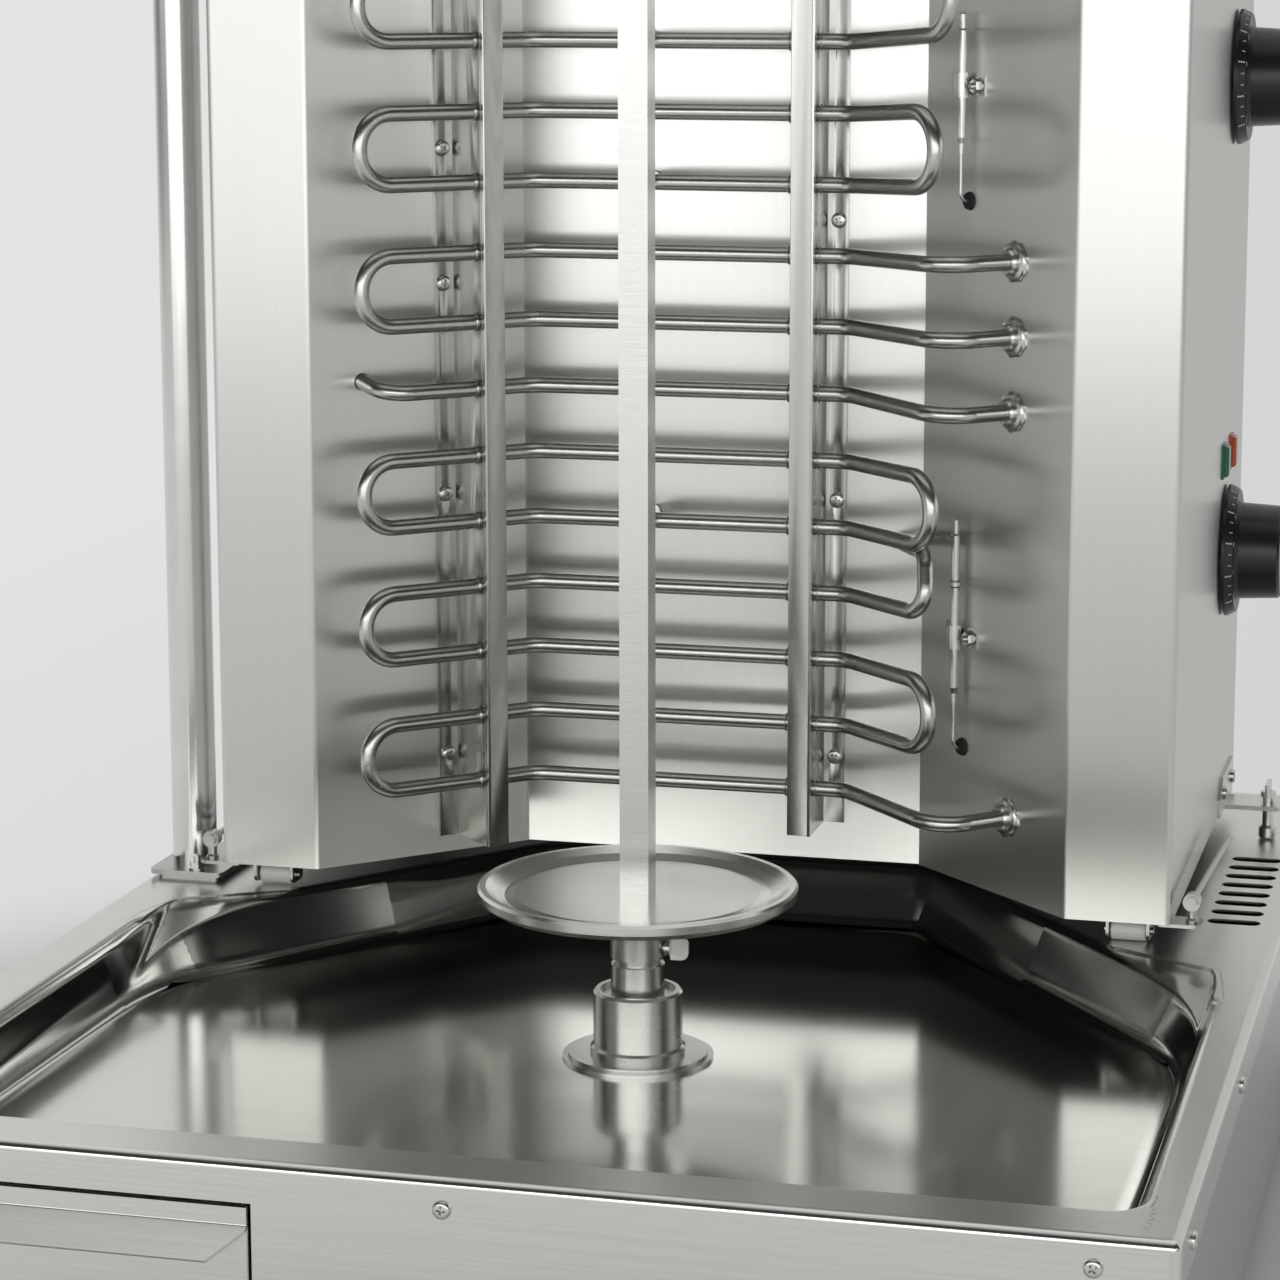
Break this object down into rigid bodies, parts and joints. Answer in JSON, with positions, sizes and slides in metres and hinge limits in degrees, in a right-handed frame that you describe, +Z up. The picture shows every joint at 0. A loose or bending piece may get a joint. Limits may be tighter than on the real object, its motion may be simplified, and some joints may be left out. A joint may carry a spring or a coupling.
{
  "type": "electric skewer grill",
  "caption": "Counter-top upright skewer grill with a C-shaped rolling tower of bent heating rods, a driven square skewer and plate, a deep drip pan and a grease drawer",
  "frame": {"origin": "on the counter, under the middle of the base: centre of the bounding box's bottom face", "axes": "+Z up, +Y from the drawer side to the back, +X to the user's right"},
  "size_m": [0.6048, 0.7934, 0.825],
  "materials": {
    "stainless": "brushed stainless sheet",
    "pan": "polished deep-drawn stainless",
    "turned_steel": "turned and ground steel",
    "element_steel": "satin grey sheathed heating rod",
    "chromed": "chromed steel",
    "zinc": "zinc-plated steel",
    "gearbox_grey": "grey painted casting",
    "rubber": "black rubber",
    "black_plastic": "black heat-proof plastic",
    "white_plastic": "white plastic roller",
    "lamp_green": "green lamp lens",
    "lamp_orange": "orange lamp lens",
    "switch_green": "green rocker"
  },
  "bodies": {
    "base": {"top_pan": "pan", "cabinet": "stainless", "floor_plate": "zinc", "feet": "rubber", "base_screws": "zinc", "cable_gland": "black_plastic", "drawer_rails": "zinc", "bearing_collar": "turned_steel", "motor_mount": "zinc", "gear_motor": "gearbox_grey", "pole": "chromed", "pole_foot": "stainless", "pole_bolts": "zinc", "top_arm": "chromed"},
    "drawer": {"drawer_front": "stainless", "drawer_tub": "stainless"},
    "spit": {"spit_shaft": "turned_steel", "plate_boss": "turned_steel", "meat_plate": "stainless", "skewer": "turned_steel"},
    "thumb_screw_body": {"thumb_screw": "zinc"},
    "top_pin_body": {"top_pin": "turned_steel"},
    "clamp_screw_body": {"clamp_screw": "zinc"},
    "rocker_body": {"rocker": "switch_green"},
    "knob_lower_body": {"knob_lower": "black_plastic"},
    "knob_upper_body": {"knob_upper": "black_plastic"},
    "roller_front_left_body": {"roller_front_left": "white_plastic"},
    "roller_front_right_body": {"roller_front_right": "white_plastic"},
    "roller_rear_left_body": {"roller_rear_left": "white_plastic"},
    "roller_rear_right_body": {"roller_rear_right": "white_plastic"},
    "tower": {"back_reflector": "stainless", "bar_screws": "zinc", "casing_left": "stainless", "casing_right": "stainless", "clamp_bracket": "stainless", "element_1": "element_steel", "element_2": "element_steel", "element_3": "element_steel", "element_4": "element_steel", "element_5": "element_steel", "element_6": "element_steel", "element_7": "element_steel", "element_glands": "zinc", "front_bar_left": "stainless", "front_bar_right": "stainless", "lamps_green": "lamp_green", "lamps_orange": "lamp_orange", "probe_clips": "stainless", "probe_grommets": "rubber", "probe_lower": "turned_steel", "probe_upper": "turned_steel", "rear_bracket_left": "stainless", "rear_bracket_right": "stainless", "rear_cover": "stainless", "roller_forks": "zinc", "side_rods": "zinc", "switch_frame": "black_plastic", "thermostats": "zinc", "tower_floor": "stainless", "tower_top": "stainless"}
  },
  "joints": [
    {"name": "spit_spin", "type": "hinge", "parent": "base", "child": "spit", "pos_m": [0.01, -0.104, 0.14], "axis": [0, 0, 1], "continuous": true},
    {"name": "thumb_screw_turn", "type": "hinge", "parent": "spit", "child": "thumb_screw_body", "pos_m": [0.03, -0.104, 0.1725], "axis": [1, 0, 0], "range_deg": [-180, 180]},
    {"name": "top_pin_lift", "type": "slide", "parent": "base", "child": "top_pin_body", "axis": [0, 0, 1], "range_m": [0, 0.02]},
    {"name": "drawer_slide", "type": "slide", "parent": "base", "child": "drawer", "axis": [0, -1, 0], "range_m": [0, 0.25]},
    {"name": "tower_slide", "type": "slide", "parent": "base", "child": "tower", "axis": [0, 1, 0], "range_m": [0, 0.04]},
    {"name": "knob_lower_turn", "type": "hinge", "parent": "tower", "child": "knob_lower_body", "pos_m": [0.262, 0.246, 0.317], "axis": [-1, 0, 0], "range_deg": [0, 300]},
    {"name": "knob_upper_turn", "type": "hinge", "parent": "tower", "child": "knob_upper_body", "pos_m": [0.262, 0.246, 0.574], "axis": [-1, 0, 0], "range_deg": [0, 300]},
    {"name": "clamp_screw_turn", "type": "hinge", "parent": "tower", "child": "clamp_screw_body", "pos_m": [0.276, 0.271, 0.17], "axis": [0, 0, 1], "range_deg": [-180, 180]},
    {"name": "rocker_tilt", "type": "hinge", "parent": "tower", "child": "rocker_body", "pos_m": [0.246, 0.246, 0.695], "axis": [0, -1, 0], "range_deg": [0, 16]},
    {"name": "roller_front_left_spin", "type": "hinge", "parent": "tower", "child": "roller_front_left_body", "pos_m": [-0.227, 0.043, 0.1555], "axis": [-1, 0, 0], "continuous": true},
    {"name": "roller_front_right_spin", "type": "hinge", "parent": "tower", "child": "roller_front_right_body", "pos_m": [0.227, 0.043, 0.1555], "axis": [-1, 0, 0], "continuous": true},
    {"name": "roller_rear_left_spin", "type": "hinge", "parent": "tower", "child": "roller_rear_left_body", "pos_m": [-0.227, 0.3, 0.1555], "axis": [-1, 0, 0], "continuous": true},
    {"name": "roller_rear_right_spin", "type": "hinge", "parent": "tower", "child": "roller_rear_right_body", "pos_m": [0.227, 0.3, 0.1555], "axis": [-1, 0, 0], "continuous": true}
  ],
  "couplings": [
    {"joint": "roller_front_left_spin", "follows": "tower_slide", "rad_per_m": 192.31},
    {"joint": "roller_front_right_spin", "follows": "tower_slide", "rad_per_m": 192.31},
    {"joint": "roller_rear_left_spin", "follows": "tower_slide", "rad_per_m": 192.31},
    {"joint": "roller_rear_right_spin", "follows": "tower_slide", "rad_per_m": 192.31}
  ]
}
